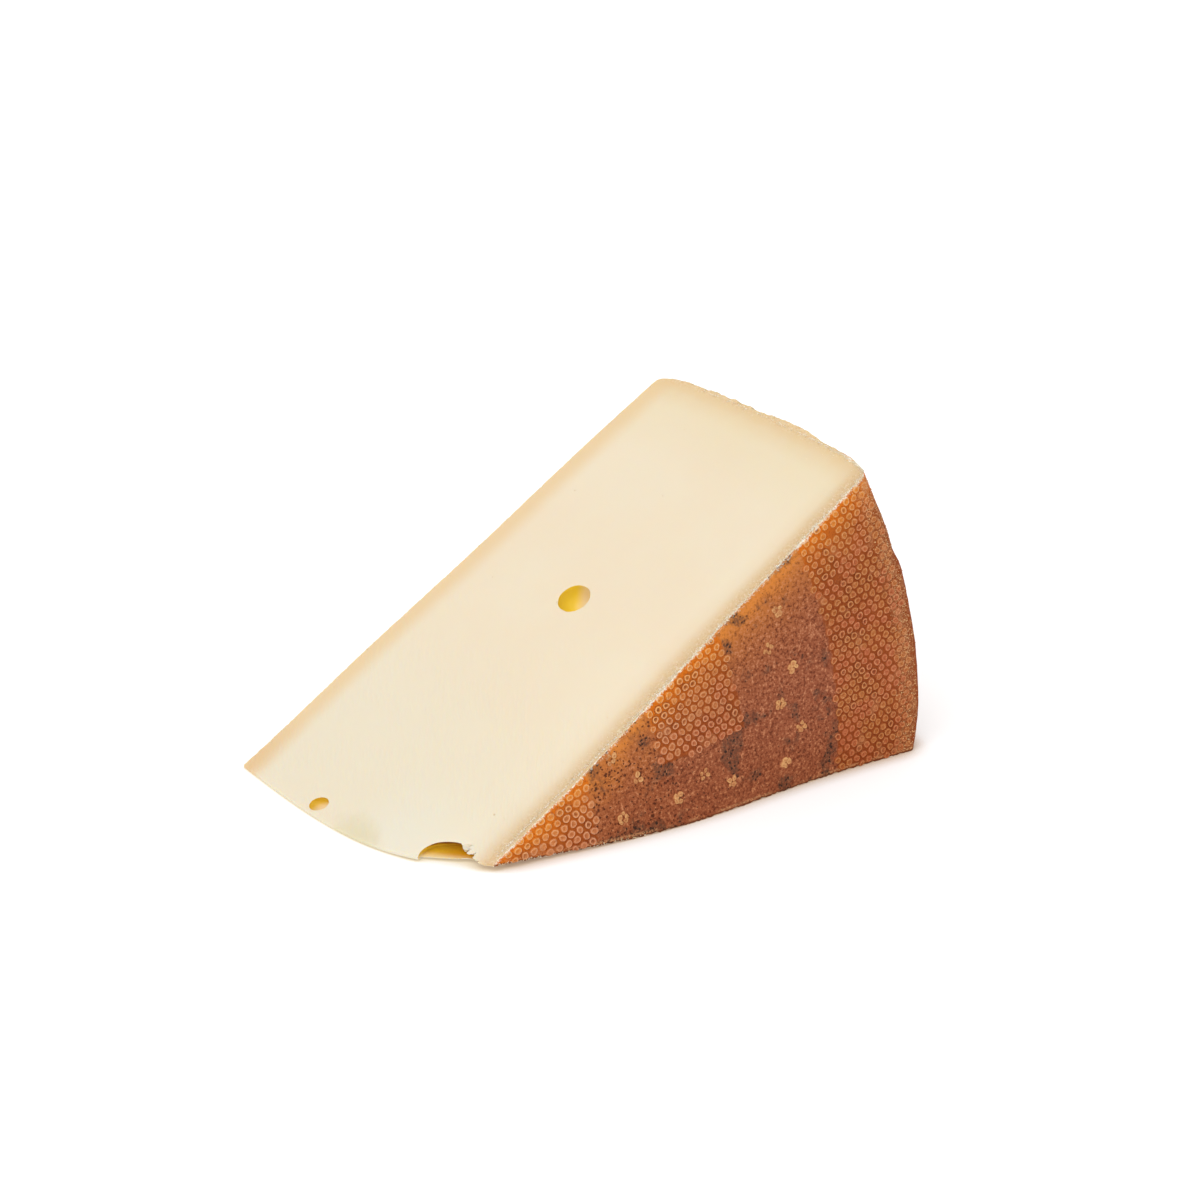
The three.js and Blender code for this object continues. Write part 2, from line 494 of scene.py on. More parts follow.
def buildBody():
    body = wheelPiece()
    combine(body, knifeSlice(), "INTERSECT")
    for eye in eyes:
        combine(body, eyeBall(eye), "DIFFERENCE")
    combine(body, crackSlot(), "DIFFERENCE")
    body.name = body.data.name = "cheese_body"
    mesh = body.data
    bm = bmesh.new()
    bm.from_mesh(mesh)
    bmesh.ops.remove_doubles(bm, verts=bm.verts, dist=relief["mergeReach"])
    bmesh.ops.dissolve_degenerate(bm, edges=bm.edges, dist=0.01)
    bmesh.ops.recalc_face_normals(bm, faces=bm.faces)
    bm.to_mesh(mesh)
    bm.free()
    kinds = faceKinds(mesh)
    roughen(mesh, kinds)
    mesh.polygons.foreach_set("material_index", kinds)
    mesh.polygons.foreach_set("use_smooth", np.ones(len(mesh.polygons), bool))
    mesh.set_sharp_from_angle(angle=math.radians(relief["sharpAngle"]))
    storeGaps(mesh)
    storePaintedLight(mesh)
    return body, kinds


body, bodyKinds = buildBody()
print("body shaped:", len(body.data.polygons), "faces")

surface = BVHTree.FromPolygons(
    [v.co.copy() for v in body.data.vertices], [tuple(p.vertices) for p in body.data.polygons])


def overSide(x, z, side):
    # The point of the near or far rind side at x, z, and the way out of it
    start, inward = (-60, 1) if side == "near" else (160, -1)
    return surface.ray_cast(Vector((x, start, z)), Vector((0, inward, 0)))[:2]


def overTop(x, y):
    return surface.ray_cast(Vector((x, y, 150)), Vector((0, 0, -1)))[0]


def sideY(side):
    return 0 if side == "near" else wheel["thickness"]


def onSide(x, z, side, margin):
    y = sideY(side)
    inside = (topAt(x, y) - z) * math.cos(cutSlope) > margin and z - underAt(x, y) > margin
    return inside and math.hypot(x, z) < wheel["radius"] - wheel["rimDepth"] - 0.3


# Many small marks and crumbs are joined from copies of one pattern

def joinCopies(name, pattern, copies):
    # copies holds a matrix in millimetres and a tone from 0 to 1 for each one
    places = readPlaces(pattern)
    faces = [tuple(p.vertices) for p in pattern.polygons]
    matrices = np.array([np.array(matrix) for matrix, tone in copies])
    flat = np.concatenate([places, np.ones((len(places), 1))], axis=1)
    allPlaces = np.einsum("nij,vj->nvi", matrices[:, :3, :], flat).reshape(-1, 3)
    allFaces = [tuple(corner + i * len(places) for corner in face)
                for i in range(len(copies)) for face in faces]
    mesh = bpy.data.meshes.new(name)
    mesh.from_pydata(allPlaces.tolist(), [], allFaces)
    storeValues(mesh, "tone", np.repeat([tone for matrix, tone in copies], len(places)))
    if "crest" in pattern.attributes:
        crest = np.empty(len(places))
        pattern.attributes["crest"].data.foreach_get("value", crest)
        storeValues(mesh, "crest", np.tile(crest, len(copies)))
    mesh.polygons.foreach_set("use_smooth", np.ones(len(mesh.polygons), bool))
    return linked(name, mesh)


def cupPattern(levels, segments):
    # A round mark at unit size on z = 0: levels are radius, height and how much of a crest it is
    bm = bmesh.new()
    crest = bm.verts.layers.float.new("crest")
    bmesh.ops.create_circle(bm, cap_ends=False, radius=levels[0][0], segments=segments)
    bmesh.ops.translate(bm, verts=bm.verts, vec=(0, 0, levels[0][1]))
    loop = list(bm.edges)
    for (lastRadius, lastHeight, _), (radius, height, level) in zip(levels, levels[1:]):
        grown = bmesh.ops.extrude_edge_only(bm, edges=loop)["geom"]
        loop = [e for e in grown if isinstance(e, bmesh.types.BMEdge)]
        fresh = [v for v in grown if isinstance(v, bmesh.types.BMVert)]
        bmesh.ops.scale(bm, verts=fresh, vec=(radius / lastRadius, radius / lastRadius, 1))
        bmesh.ops.translate(bm, verts=fresh, vec=(0, 0, height - lastHeight))
        for vertex in fresh:
            vertex[crest] = level
    bmesh.ops.contextual_create(bm, geom=loop)
    bmesh.ops.recalc_face_normals(bm, faces=bm.faces)
    return meshFrom(bm, "cup_pattern")


def layOnSide(mesh, side, wander, wanderSize):
    # The pattern's x and y lie along x and z here, and its z is the height over the side
    places = readPlaces(mesh)
    places[:, 0] += wander * sampled(places, wanderSize, 1.3)
    places[:, 1] += wander * sampled(places, wanderSize, 6.1)
    lift = 1 + 0.7 * sampled(places, wanderSize * 1.4, 4.4)
    outward = -1 if side == "near" else 1
    laid = []
    for (x, z, height), stretch in zip(places, lift):
        z = min(max(z, float(underAt(x, 0)) + 0.1), float(topAt(x, sideY(side))) - 0.15)
        hit = overSide(x, z, side)[0]
        y = hit.y if hit else sideY(side)
        laid.append((x, y + outward * height * (stretch if height > 0 else 1), z))
    writePlaces(mesh, np.array(laid))
    if side == "far":
        mesh.flip_normals()       # the far side is laid as a mirror image of the pattern
    storeGaps(mesh)


# The smooth bands of the near side, and the ring marks that cover the rest

bands = {
    "outerLow": 98.0, "outerHigh": 127.5,      # distances from the wheel's axis
    "innerLow": 50.0, "innerHigh": 70.5,
    "spokeTop": 9.0,                           # the band between them lies below this angle
}


def inBand(x, z, grow):
    radius, angle = math.hypot(x, z), math.degrees(math.atan2(z, x))
    outer = bands["outerLow"] - grow < radius < bands["outerHigh"] + grow
    inner = bands["innerLow"] - grow < radius < bands["innerHigh"] + grow
    spokeTop = bands["spokeTop"] + math.degrees(grow / max(radius, 1))
    spoke = bands["innerLow"] < radius < bands["outerHigh"] and angle < spokeTop
    return outer or inner or spoke


rings = {
    "pitch": 2.57,
    "nearTurn": 12.5,      # degrees, of the rows
    "farTurn": -4.0,
    "nearSegments": 12, "nearSeed": 41,
    "farSegments": 8, "farSeed": 57,
    "drift": 0.8,          # how far the rows wander over a few centimetres
    "driftSize": 16.0,
    "jitter": 0.08,
    "radius": 1.25,
    "height": 0.34,
    # Radius, height and how much of a crest it is, from the groove around a mark to its dimple
    "levels": ((1.0, -0.35, -1.0), (0.87, 0.1, -0.3), (0.75, 0.8, 0.5), (0.66, 1.0, 1.0),
               (0.53, 0.8, 0.5), (0.24, 0.4, -0.1)),
    "wander": 0.3,
    "wanderSize": 1.4,
    "wornSize": 8.0,
    "nearMargin": 0.4,
    "farMargin": 1.7,
    "rimGap": 6.2,         # none this near to the heel
}


def wornAt(x, z, side):
    value = noise.noise(Vector((x, z, 40 if side == "near" else 90)) / rings["wornSize"])
    nearRim = max(0.0, (math.hypot(x, z) - 148) / 6)
    return min(max((value - 0.16) * 3.5, 0) + 0.6 * min(nearRim, 1), 1)


def ringCopies(side, dice):
    pitch, turn = rings["pitch"], math.radians(rings[side + "Turn"])
    reach = int(wheel["radius"] / pitch) + 4
    copies = []
    for row in range(-reach, reach * 2):
        for column in range(-reach, reach * 2):
            a = (column + row * 0.5) * pitch + dice.uniform(-rings["jitter"], rings["jitter"])
            b = row * pitch * math.sqrt(0.75) + dice.uniform(-rings["jitter"], rings["jitter"])
            drift = noise.noise_vector(Vector((a, b, 7)) / rings["driftSize"]) * rings["drift"]
            x = a * math.cos(turn) - b * math.sin(turn) + drift.x
            z = a * math.sin(turn) + b * math.cos(turn) + drift.y
            size = rings["radius"] * dice.uniform(0.93, 1.03)
            stretch, lean = dice.uniform(0.95, 1.06), dice.uniform(0, math.pi)
            tone, luck = dice.random(), dice.random()
            if not onSide(x, z, side, rings[side + "Margin"]) or (side == "near" and inBand(x, z, 0.3)):
                continue
            worn = wornAt(x, z, side)
            if luck < 0.004 + worn * 0.07 or math.hypot(x, z) > wheel["radius"] - rings["rimGap"]:
                continue
            height = rings["height"] * (1 - 0.65 * worn) * (0.75 + 0.45 * tone)
            matrix = (Matrix.Translation((x, z, 0)) @ Matrix.Rotation(lean, 4, "Z")
                      @ Matrix.Diagonal((size * stretch, size / stretch, height, 1)))
            copies.append((matrix, tone * (1 - 0.6 * worn)))
    return copies


def ringMarks(side):
    segments, seed = rings[side + "Segments"], rings[side + "Seed"]
    noise.seed_set(seed)       # the drift of the rows would otherwise start from the clock
    copies = ringCopies(side, random.Random(seed))
    made = joinCopies("ring_marks_" + side, cupPattern(rings["levels"], segments), copies)
    layOnSide(made.data, side, rings["wander"], rings["wanderSize"])
    print("ring marks on the", side, "side:", len(copies))
    return made


nearRings = ringMarks("near")
farRings = ringMarks("far")

# Rosettes of small buttons, staggered along the bands

rosettes = {
    "levels": ((1.0, -0.3, 0), (0.86, 0.6, 0.5), (0.64, 1.0, 1.0), (0.34, 0.6, 0.25)),
    "button": 0.78,
    "spread": 1.1,
    "height": 0.34,
    "step": 8.6,
    "offset": 2.9,
    "segments": 9,
    "wander": 0.5, "wanderSize": 1.1,
}


def rosetteSpots():
    spots = []
    for middle, first, amount in (
            ((bands["outerLow"] + bands["outerHigh"]) / 2, 1.5, 9),
            ((bands["innerLow"] + bands["innerHigh"]) / 2, 1.0, 4)):
        for i in range(amount):
            angle = math.radians(first + i * math.degrees(rosettes["step"] / middle))
            radius = middle + rosettes["offset"] * (1 if i % 2 else -1)
            spots.append((radius * math.cos(angle), radius * math.sin(angle)))
    for i in range(3):
        spots.append((74.0 + i * rosettes["step"], 4.4 + rosettes["offset"] * (0.7 if i % 2 else -0.7)))
    return spots


def rosetteCopies():
    dice = random.Random(17)
    copies = []
    for x, z in rosetteSpots():
        first, petals = dice.uniform(0, math.tau), dice.choice((3, 4, 4, 5))
        for petal in range(petals):
            turn = first + math.tau * petal / petals + dice.uniform(-0.25, 0.25)
            spread = rosettes["spread"] * dice.uniform(0.75, 1.15)
            a, b = x + spread * math.cos(turn), z + spread * math.sin(turn)
            size, tone = rosettes["button"] * dice.uniform(0.75, 1.2), dice.random()
            if onSide(a, b, "near", 0.9):
                shape = Matrix.Diagonal((size * dice.uniform(0.85, 1.2), size, rosettes["height"], 1))
                copies.append((Matrix.Translation((a, b, 0)) @ Matrix.Rotation(turn, 4, "Z") @ shape, tone))
    return copies


rosettePattern = cupPattern(rosettes["levels"], rosettes["segments"])
nearRosettes = joinCopies("band_rosettes", rosettePattern, rosetteCopies())
layOnSide(nearRosettes.data, "near", rosettes["wander"], rosettes["wanderSize"])

# Crumbs that the knife left along its cuts, and dry flecks on the rims

crumbs = {
    "nearEdge": 1500, "farEdge": 120, "heelEdge": 460, "boardEdge": 90,
    "small": 0.12, "large": 0.34,
    "rim": 2600, "rimSmall": 0.14, "rimLarge": 0.42,
}


def crumbPattern(seed):
    dice = random.Random(seed)
    bm = bmesh.new()
    bmesh.ops.create_icosphere(bm, subdivisions=1, radius=1)
    for vertex in bm.verts:
        vertex.co *= dice.uniform(0.6, 1.25)
    return meshFrom(bm, "crumb_pattern")


def dropped(point, size, dice):
    about = Matrix.Rotation(dice.uniform(0, math.tau), 4, "Z")
    turn = about @ Matrix.Rotation(dice.uniform(0, math.tau), 4, "X")
    shape = Matrix.Diagonal((size, size * dice.uniform(0.6, 1.1), size * dice.uniform(0.5, 0.9), 1))
    return Matrix.Translation(point) @ turn @ shape


def heelEdgeX(y):
    x = knife["reach"]
    for step in range(14):
        x = math.sqrt(float(heelRadius(y)) ** 2 - float(topAt(x, y)) ** 2)
    return x


def edgeCrumbs():
    dice = random.Random(5)
    copies = []
    ahead = knife["noseAhead"] + knife["reach"]
    for i in range(crumbs["nearEdge"] + crumbs["farEdge"] + crumbs["heelEdge"]):
        gap = min(dice.expovariate(1 / 0.4) if dice.random() < 0.85 else dice.expovariate(1 / 1.6), 5.0)
        size, tone, spot = dice.uniform(crumbs["small"], crumbs["large"]), dice.random(), dice.random()
        if i < crumbs["nearEdge"] + crumbs["farEdge"]:
            near = i < crumbs["nearEdge"]
            y = 0.0 if near else wheel["thickness"]
            x = float(noseX(y)) + 1.5 + spot * (ahead + 3 - float(noseX(y)))
            crown = float(crownAt(math.hypot(x, topAt(x, y))))
            y = crown + 0.12 + gap if near else wheel["thickness"] - crown - 0.12 - gap
        else:
            y = 1.5 + 70 * spot ** 3
            x = heelEdgeX(y) - 1.6 - gap
        size *= 1.0 if gap < 0.6 else 0.55
        point = overTop(x, y)
        if point is not None and point.z > topAt(x, y) - 0.6:
            copies.append((dropped(point, size, dice), tone * (1.0 if gap < 0.35 else 0.5)))
    for i in range(crumbs["boardEdge"]):
        x = knife["noseAhead"] + 1 + 42 * dice.random() ** 1.3
        size, tone = dice.uniform(0.12, 0.26), dice.random()
        z = float(underAt(x, 0)) + size + dice.expovariate(1 / 0.15)
        point = overSide(x, z, "near")[0]
        if point is not None:
            copies.append((dropped(point, size, dice), tone * 0.4))
    made = joinCopies("edge_crumbs", crumbPattern(3), copies)
    storeGaps(made.data)
    return made


def rimCrumbs():
    dice = random.Random(23)
    copies = []
    for i in range(crumbs["rim"]):
        side = "far" if i % 3 == 0 else "near"
        angle = math.radians(dice.uniform(-2.5, 37))
        radius = wheel["radius"] - wheel["rimDepth"] - 2.5 + dice.triangular(-4.5, 4.5, 0)
        x, z = radius * math.cos(angle), radius * math.sin(angle)
        size, tone = dice.uniform(crumbs["rimSmall"], crumbs["rimLarge"]), dice.random()
        y = sideY(side)
        point, normal = overSide(x, z, side)
        if point is None or not underAt(x, y) + 0.7 < z < topAt(x, y) - 1.6:
            continue
        copies.append((dropped(point - normal * size * 0.45, size, dice), tone))
    made = joinCopies("rim_crumbs", crumbPattern(8), copies)
    storeGaps(made.data)
    return made


creamCrumbs = edgeCrumbs()
rindCrumbs = rimCrumbs()

for piece in (body, nearRings, farRings, nearRosettes, creamCrumbs, rindCrumbs):
    piece.data.transform(toFrame)
print("pieces placed in the frame")


# Finishes

def paint(red, green, blue):
    # A colour as seen on a screen, 0 to 255, turned into light
    values = [c / 255 for c in (red, green, blue)]
    return tuple(c / 12.92 if c < 0.04045 else ((c + 0.055) / 1.055) ** 2.4 for c in values) + (1.0,)


class Signal:
    # A shader socket that can be used in sums
    def __init__(self, finish, socket):
        self.finish, self.socket = finish, socket

    def math(self, operation, *values):
        return self.finish.add("Math", {"operation": operation}, dict(enumerate(values)))

    def __add__(self, other):
        return self.math("ADD", self, other)

    def __radd__(self, other):
        return self.math("ADD", other, self)

    def __sub__(self, other):
        return self.math("SUBTRACT", self, other)

    def __rsub__(self, other):
        return self.math("SUBTRACT", other, self)

    def __mul__(self, other):
        return self.math("MULTIPLY", self, other)

    def __rmul__(self, other):
        return self.math("MULTIPLY", other, self)

    def __pow__(self, other):
        return self.math("POWER", self, other)

    def larger(self, other):
        return self.math("MAXIMUM", self, other)

    def smaller(self, other):
        return self.math("MINIMUM", self, other)

    def fade(self, length):
        # 1 up to zero, and from there a smooth decay over the length
        return self.math("EXPONENT", self.larger(0.0) * (-1 / length))


class Finish:
    # A material and the nodes that make it
    def __init__(self, name):
        self.material = bpy.data.materials.new(name)
        self.material.use_nodes = True
        self.tree = self.material.node_tree
        self.tree.nodes.clear()

    def add(self, kind, settings=None, inputs=None, output=0):
        node = self.tree.nodes.new("ShaderNode" + kind)
        for key, value in (settings or {}).items():
            setattr(node, key, value)
        for key, value in (inputs or {}).items():
            if isinstance(value, Signal):
                self.tree.links.new(value.socket, node.inputs[key])
            else:
                node.inputs[key].default_value = value
        return Signal(self, node.outputs[output]) if node.outputs else None

    def step(self, signal, low, high):
        return self.add("MapRange", {"interpolation_type": "SMOOTHSTEP"}, {0: signal, 1: low, 2: high})

    def fall(self, signal, low, high):
        return 1 - self.step(signal, low, high)

    def mix(self, factor, first, second, blend="MIX"):
        settings = {"data_type": "RGBA", "blend_type": blend}
        return self.add("Mix", settings, {0: factor, 6: first, 7: second}, 2)

    def grain(self, vector, size, detail=2.0, roughness=0.5):
        return self.add("TexNoise", {}, {
            "Vector": vector, "Scale": 1 / size, "Detail": detail, "Roughness": roughness})

    def sway(self, amount, *grain):
        # A grain that swings about zero
        return (self.grain(*grain) - 0.5) * amount

    def warped(self, vector, size, amount):
        # Places moved about by a noise of this size
        drift = self.add("TexNoise", {}, {"Vector": vector, "Scale": 1 / size, "Detail": 1.0}, "Color")
        drift = self.add("VectorMath", {"operation": "SUBTRACT"}, {0: drift, 1: (0.5, 0.5, 0.5)})
        drift = self.add("VectorMath", {"operation": "SCALE"}, {0: drift, "Scale": amount})
        return self.add("VectorMath", {"operation": "ADD"}, {0: vector, 1: drift})

    def mottle(self, colour, grain, dark, pale, amount):
        # Darker and paler specks, where the grain is low and where it is high
        colour = self.mix(self.fall(grain, 0.36, 0.5) * amount, colour, dark)
        return self.mix(self.step(grain, 0.52, 0.68) * amount, colour, pale)

    def dots(self, vector, size):
        # Distance from the nearest of many scattered points, in steps of size
        return self.add("TexVoronoi", {}, {"Vector": vector, "Scale": 1 / size})

    def place(self):
        # Object coordinates as millimetres about the wheel's axis
        raw = self.add("TexCoord", {}, {}, "Object")
        return self.add("Mapping", {}, {
            "Vector": raw, "Location": tuple(-shift), "Scale": (1 / mm, 1 / mm, 1 / mm)})

    def parts(self, vector):
        return [self.add("SeparateXYZ", {}, {0: vector}, i) for i in range(3)]

    def radius(self, vector):
        # Distance from the wheel's axis
        x, y, z = self.parts(vector)
        flat = self.add("CombineXYZ", {}, {0: x, 1: 0.0, 2: z})
        return self.add("VectorMath", {"operation": "LENGTH"}, {0: flat}, "Value")

    def value(self, name):
        return self.add("Attribute", {"attribute_name": name}, {}, "Fac")

    def gaps(self, name):
        return self.parts(self.add("Attribute", {"attribute_name": name}, {}, "Vector"))

    def bump(self, height, distance):
        return self.add("Bump", {}, {"Strength": 1.0, "Distance": distance * mm, "Height": height})

    def finish(self, **sockets):
        shader = self.add("BsdfPrincipled", {}, {
            key.replace("_", " "): value for key, value in sockets.items()})
        self.add("OutputMaterial", {}, {"Surface": shader})
        return self.material


cream = {
    "middle": paint(222, 206, 179),
    "pale": paint(222, 208, 182),
    "nose": paint(219, 208, 184),
    "noseLitThrough": paint(218, 212, 194),
    "smudge": paint(209, 199, 167),
    "heelTail": paint(218, 202, 167),
    "nearEdge": paint(204, 174, 131),
    "farEdge": paint(218, 190, 146),
    "farCorner": paint(213, 179, 130),
    "heelEdge": paint(213, 184, 138),
    "speckDark": paint(184, 142, 94),
    "torn": paint(246, 240, 226),
    "gold": paint(236, 205, 62),
    "amber": paint(198, 136, 6),
    "roofShade": paint(134, 76, 8),
    "goldPaintedLight": paint(231, 206, 160),
    "rippleWidth": 1.5,
    "smudgeAt": (0.4, 33.3),
}


def creamFinish():
    finish = Finish("cheese_cream")
    place = finish.place()
    x, y = finish.parts(place)[:2]
    near, far, heel = finish.gaps("rindGap")
    colour = finish.mix(finish.step(finish.grain(place, 30, 3), 0.35, 0.65), cream["middle"], cream["pale"])
    colour = finish.mix(finish.fall(heel, 5, 32) * 0.65, colour, cream["heelTail"])
    # Painted light: the thin nose is paler, most of all in patches near its tip, where light from the floor
    # shows through it
    colour = finish.mix(finish.fall(x, 14, 66), colour, cream["nose"])
    litThrough = finish.fall(x + finish.grain(place, 9, 2) * 12, 12, 34) * finish.fall(y, 24, 42)
    colour = finish.mix(litThrough * 0.8, colour, cream["noseLitThrough"])
    smudgeX, smudgeY = cream["smudgeAt"]
    smudge = ((x - smudgeX) * 0.19) ** 2 + ((y - smudgeY) * 0.1) ** 2 + finish.sway(1.4, place, 4, 3)
    colour = finish.mix(finish.fall(smudge, 0.0, 1.5) * 0.85, colour, cream["smudge"])

    speck = finish.grain(place, 0.6, 3, 0.7)
    wander = finish.sway(2.0, place, 5, 2)
    corner = finish.fall(x, -2, 16)
    farWay = far * (1 - corner * 0.1)
    farColour = finish.mix(corner, cream["farEdge"], cream["farCorner"])
    colour = finish.mix(finish.fall(farWay + wander * 0.6, 2.4, 10.4) * 0.88, colour, farColour)
    colour = finish.mix(finish.fall(heel + wander, 3.0, 12.0) * 0.55, colour, cream["heelEdge"])
    colour = finish.mix(finish.fall(heel + wander, 2.0, 6.5) * 0.8, colour, cream["heelEdge"])
    colour = finish.mix(finish.fall(near + wander * 0.5, 2.0, 9.0) * 0.22, colour, cream["nearEdge"])
    colour = finish.mix(finish.fall(near + wander * 0.3, 0.7, 4.9) * 0.95, colour, cream["nearEdge"])
    crumbly = finish.fall(near.smaller(heel - 0.8), 0.3, 3.6)
    colour = finish.mix(crumbly * finish.fall(speck, 0.32, 0.48) * 0.6, colour, cream["speckDark"])
    torn = crumbly * finish.step(speck, 0.54, 0.68) * 0.35
    torn = torn.larger(finish.fall(near + speck * 1.4, 0.66, 0.9))
    colour = finish.mix(torn, colour, cream["torn"])

    dragged = finish.add("Mapping", {}, {"Vector": place, "Scale": (1.0, 0.1, 1.0)})
    across = x * 0.84 - y * 0.543 + finish.sway(4, place, 12, 2)
    ripple = across.math("SINE", across * (math.tau / cream["rippleWidth"]))
    ripple = ripple * finish.step(finish.grain(place, 12, 2), 0.36, 0.56)
    ripple = ripple * (1 - finish.step(x, 34, 72) * 0.85)
    pits = finish.fall(finish.dots(place, 12), 0.016, 0.03)
    colour = finish.mix(pits * 0.7, colour, cream["nearEdge"])
    height = (finish.grain(place, 3.5, 3) * 0.3 + finish.grain(dragged, 1.5, 3, 0.6) * 0.25
              + speck * (0.1 + crumbly * 1.1) + ripple * 0.28 - pits)
    return finish.finish(
        Base_Color=colour, Roughness=0.42 + finish.grain(place, 6, 2) * 0.16,
        Normal=finish.bump(height, 0.09),
        Subsurface_Weight=0.35, Subsurface_Radius=(1.0, 0.62, 0.28), Subsurface_Scale=0.003,
        Specular_IOR_Level=0.35)


def eyeFinish():
    finish = Finish("cheese_eye")
    place = finish.place()
    height = finish.grain(place, 1.8, 2)
    y, z = finish.parts(place)[1:]
    # The eye that the nose broke open
    opened = finish.fall(y, 22, 28) * finish.fall(z, 6, 12)
    # Painted shade in the hollows: eyes near the board turn half amber, and the opened eye, under its roof,
    # turns amber most of all at its near end
    cavityShade = (opened * (1 - finish.step(y, 8, 19) * 0.7)).larger(finish.fall(z, 6, 12) * 0.5)
    colour = finish.mix(cavityShade, cream["gold"], cream["amber"])
    colour = finish.mix(opened * finish.step(z + height * 0.8, -2.1, -0.9) * finish.step(y, 6.2, 8.6),
                        colour, cream["roofShade"])
    # Painted light: the part of each eye's wall that faces the light turns pale
    colour = finish.mix(finish.value("pale"), colour, cream["goldPaintedLight"])
    return finish.finish(
        Base_Color=colour, Roughness=0.3, Normal=finish.bump(height, 0.06),
        Subsurface_Weight=0.3, Subsurface_Radius=(1.0, 0.8, 0.2), Subsurface_Scale=0.0015,
        Specular_IOR_Level=0.3)


rind = {
    "groove": paint(144, 68, 28),
    "grooveGlow": paint(214, 112, 22),
    "fill": paint(176, 104, 52),
    "fillRed": paint(180, 96, 60),
    "fillWarm": paint(196, 124, 88),
    "fillGlow": paint(224, 142, 58),
    "crest": paint(222, 162, 114),
    "crestWarm": paint(240, 194, 168),
    "crestGlow": paint(243, 206, 160),
    "dimple": paint(116, 54, 28),
    "worn": paint(192, 128, 86),
    "crust": paint(204, 148, 102),
    "band": paint(148, 82, 55),
    "bandGlow": paint(214, 130, 54),
    "grainDark": paint(104, 50, 30),
    "grainPale": paint(202, 136, 98),
    "pore": paint(84, 42, 28),
    "stain": paint(94, 64, 50),
    "soot": paint(48, 36, 32),
    "heel": paint(158, 92, 52),
    "rim": paint(188, 118, 72),
    "button": paint(222, 172, 112),
    "buttonEdge": paint(176, 106, 62),
    "footShade": paint(104, 58, 34),
    "torn": paint(244, 236, 218),
    "tornTan": paint(228, 182, 128),
    "lowShade": (0.92, 0.86, 0.74, 1.0),     # the rind is darker above the board
    "crustFrom": 148.0,                      # a crumbly crust runs along the rims
    "crustTo": 154.4,
}


def bandMask(finish, place):
    x, y, z = finish.parts(place)
    wobble = finish.sway(2.2, place, 3.0, 2) + finish.sway(1.4, place, 0.9, 2)
    radius = finish.radius(place) + wobble
    angle = z.math("ARCTAN2", z, x) * (180 / math.pi) + wobble * 0.5

    def between(low, high):
        return finish.step(radius, low - 1.2, low - 0.2) * finish.fall(radius, high + 0.2, high + 1.2)

    spoke = between(bands["innerLow"], bands["outerHigh"])
    spoke = spoke * finish.fall(angle, bands["spokeTop"] + 0.1, bands["spokeTop"] + 0.9)
    outer = between(bands["outerLow"], bands["outerHigh"])
    inner = between(bands["innerLow"], bands["innerHigh"])
    return outer.larger(inner).larger(spoke) * finish.fall(y, 6.0, 7.0)


def rindSigns(finish, place):
    # What the colours of the rind and of its marks have in common
    x = finish.parts(place)[0]
    upperCut, lowerCut = finish.gaps("cutGap")[:2]
    reach = finish.sway(5, place, 5, 2)
    speck = finish.grain(place, 0.5, 4, 0.75)
    return {
        "glow": (upperCut + reach - 2.0).fade(5.4),       # orange towards the upper cut
        "low": finish.fall(lowerCut, 2, 26) * finish.step(x, 30, 66),
        "warmth": finish.fall(x, 36, 116),
        "worn": finish.step(finish.grain(place, 6, 4, 0.6), 0.56, 0.68),
        "red": finish.step(finish.grain(place, 10, 3), 0.42, 0.58),
        "speck": speck,
        # Flecked with cream along the cut, and more so by the heel
        "torn": finish.fall(upperCut + speck * 3.2 - finish.step(x, 88, 106) * 0.3, 1.75, 2.3),
        "tornColour": finish.mix(
            finish.step(finish.grain(place, 0.8, 2), 0.4, 0.58), rind["tornTan"], rind["torn"]),
    }


def shaded(finish, colour, signs):
    return finish.mix(signs["low"], colour, rind["lowShade"], "MULTIPLY")


